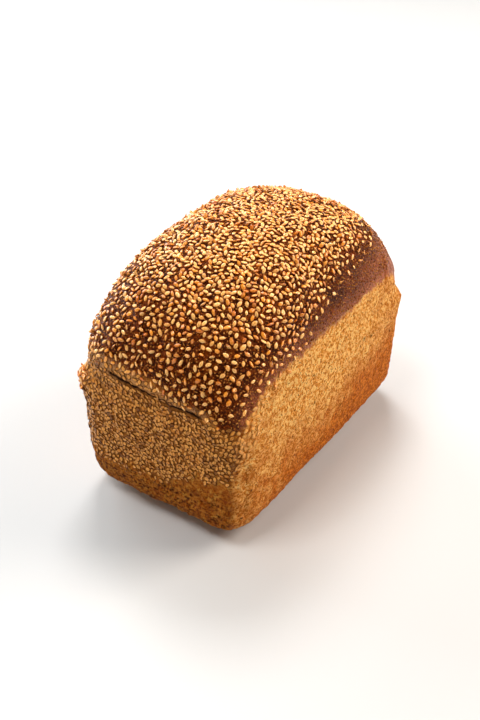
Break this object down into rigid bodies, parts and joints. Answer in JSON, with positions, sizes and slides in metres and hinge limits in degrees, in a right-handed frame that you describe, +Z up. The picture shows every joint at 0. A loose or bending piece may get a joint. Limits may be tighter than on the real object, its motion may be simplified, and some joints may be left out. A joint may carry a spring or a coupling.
{
  "type": "whole wheat tin loaf",
  "caption": "Uncut whole wheat sandwich loaf baked in a tin, with straight golden walls, a high dark crown and a sesame seed topping.",
  "frame": {"origin": "on the table, under the middle of the loaf's box", "axes": "+X along the loaf to its far end, -Y to its front side, +Z up"},
  "size_m": [0.1846, 0.1112, 0.1459],
  "materials": {
    "crust": "baked crust: golden tan walls and a dark brown satin crown",
    "sesame": "toasted sesame seed: cream-gold hull with a soft sheen"
  },
  "bodies": {
    "root": {"loaf": "crust"}
  },
  "joints": []
}
